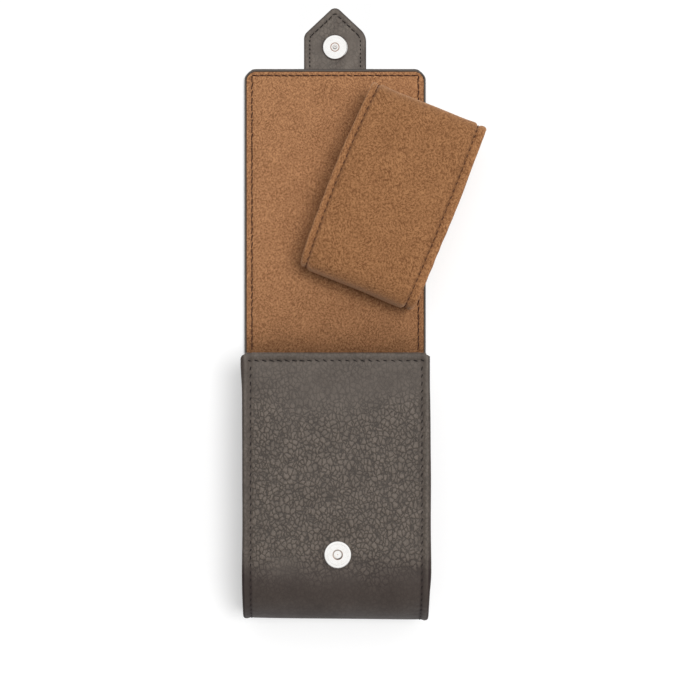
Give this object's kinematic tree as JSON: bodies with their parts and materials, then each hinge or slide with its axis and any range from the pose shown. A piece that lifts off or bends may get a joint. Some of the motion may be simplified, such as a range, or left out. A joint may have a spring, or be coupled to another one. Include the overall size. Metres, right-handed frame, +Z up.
{
  "type": "watch travel case",
  "caption": "Upright leather pouch with a long lined flap that folds over its mouth, a pointed snap tab at the flap's end, and a separate suede pillow that holds a watch.",
  "frame": {"origin": "centre of the pouch's flat back face, which lies on the table", "axes": "+X right across the front panel, +Y from the pouch towards the tab of the open flap, +Z up out of the front panel"},
  "size_m": [0.108, 0.274, 0.0476],
  "materials": {
    "leather": "pebbled grey-taupe grain, satin",
    "lining": "brushed tan microsuede nap",
    "board": "bonded fibre board",
    "thread": "waxed dark thread",
    "snap": "polished bright plate",
    "magnet": "plated magnet ring",
    "pillow_suede": "brushed tan microsuede nap",
    "pillow_thread": "dark brown thread",
    "foam": "firm cut foam"
  },
  "bodies": {
    "pouch": {"outer_wrap": "leather", "shell_board": "board", "shell_lining": "lining", "left_gusset": "leather", "right_gusset": "leather", "left_gusset_board": "board", "right_gusset_board": "board", "left_gusset_lining": "lining", "right_gusset_lining": "lining", "pouch_stitching": "thread", "front_snap_cup": "snap", "front_snap_rivet": "snap", "front_snap_magnet": "magnet", "front_snap_prongs": "snap", "front_snap_washer": "snap", "back_fold_leather": "leather", "back_fold_lining": "lining"},
    "flap_top": {"flap_top_leather": "leather", "flap_top_board": "board", "flap_top_lining": "lining", "flap_top_stitching": "thread", "front_fold_leather": "leather", "front_fold_lining": "lining"},
    "flap_front": {"flap_front_leather": "leather", "flap_front_board": "board", "flap_front_lining": "lining", "flap_front_stitching": "thread", "tab_root": "leather", "tab_bend_leather": "leather"},
    "tab": {"tab_outer_leather": "leather", "tab_inner_leather": "leather", "tab_stitching": "thread", "tab_snap_plate": "snap", "tab_snap_post": "snap", "tab_snap_prongs": "snap", "tab_snap_washer": "snap"},
    "pillow": {"pillow_cover": "pillow_suede", "pillow_left_end": "pillow_suede", "pillow_right_end": "pillow_suede", "pillow_core": "foam", "pillow_stitching": "pillow_thread"}
  },
  "joints": [
    {"name": "flap_back_fold", "type": "hinge", "parent": "pouch", "child": "flap_top", "pos_m": [0, 0.06075, 0.0016], "axis": [1, 0, 0], "range_deg": [0, 90], "deforming": ["back_fold_leather", "back_fold_lining"]},
    {"name": "flap_front_fold", "type": "hinge", "parent": "flap_top", "child": "flap_front", "pos_m": [0, 0.10875, 0.0016], "axis": [1, 0, 0], "range_deg": [0, 90], "deforming": ["front_fold_leather", "front_fold_lining"]},
    {"name": "tab_lift", "type": "hinge", "parent": "flap_front", "child": "tab", "pos_m": [0, 0.1882, 0.0012], "axis": [-1, 0, 0], "range_deg": [0, 30], "stiffness_Nm_per_rad": 0.06, "deforming": ["tab_bend_leather"]},
    {"name": "pillow_lift", "type": "slide", "parent": "pouch", "child": "pillow", "axis": [0.7071, 0, 0.7071], "range_m": [0, 0.445]}
  ],
  "couplings": [
    {"joint": "flap_front_fold", "follows": "flap_back_fold", "ratio": 1},
    {"joint": "pillow_lift", "follows": "flap_back_fold", "m_per_rad": 0.2829}
  ]
}
